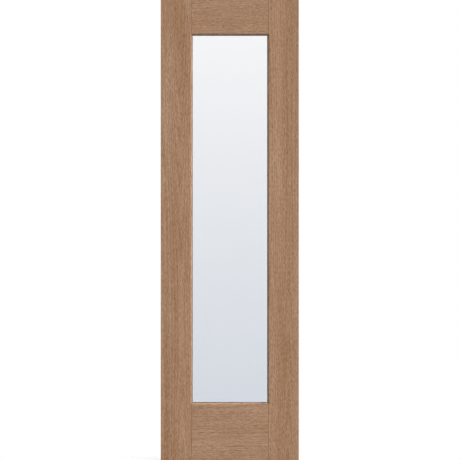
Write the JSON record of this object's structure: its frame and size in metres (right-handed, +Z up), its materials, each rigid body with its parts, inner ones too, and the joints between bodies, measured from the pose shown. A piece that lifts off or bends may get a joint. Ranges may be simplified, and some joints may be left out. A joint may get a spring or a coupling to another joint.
{
  "type": "fiberglass entrance door leaf",
  "caption": "Narrow oak-grain fibreglass entrance door leaf with a full-length insulated glass panel, bevelled sticking, indoor glazing beads and mortises for butt hinges.",
  "frame": {"origin": "foot of the hinge edge, halfway through the leaf's thickness, on the edge's flat face", "axes": "+X from the hinge edge to the lock edge, +Y from outdoors to indoors, +Z up"},
  "size_m": [0.6096, 0.0444, 2.032],
  "materials": {
    "skin": "moulded oak grain, stained mid brown, satin clear coat",
    "bead": "moulded oak grain, stained mid brown, satin clear coat",
    "edge_strip": "stained hardwood strip, satin",
    "stile": "laminated veneer timber, sawn",
    "rail": "wood-filled composite, sawn",
    "foam": "rigid polyurethane foam",
    "glazing_frame": "wood-filled composite, moulded",
    "glass": "clear low-emissivity insulated glass",
    "spacer": "folded stainless strip, dull",
    "edge_seal": "dark polysulphide sealant",
    "glazing_seal": "dark butyl and foam tape",
    "setting_block": "neoprene"
  },
  "bodies": {
    "root": {"exterior_skin": "skin", "interior_skin": "skin", "top_bead": "bead", "lock_side_bead": "bead", "bottom_bead": "bead", "hinge_side_bead": "bead", "hinge_edge_strip": "edge_strip", "lock_edge_strip": "edge_strip", "hinge_stile": "stile", "lock_stile": "stile", "top_rail": "rail", "bottom_rail": "rail", "top_core": "foam", "bottom_core": "foam", "top_glazing_frame": "glazing_frame", "lock_side_glazing_frame": "glazing_frame", "bottom_glazing_frame": "glazing_frame", "hinge_side_glazing_frame": "glazing_frame", "exterior_pane": "glass", "interior_pane": "glass", "top_spacer": "spacer", "lock_side_spacer": "spacer", "bottom_spacer": "spacer", "hinge_side_spacer": "spacer", "glass_edge_seal": "edge_seal", "exterior_glazing_seal": "glazing_seal", "interior_glazing_seal": "glazing_seal", "setting_blocks": "setting_block"}
  },
  "joints": []
}
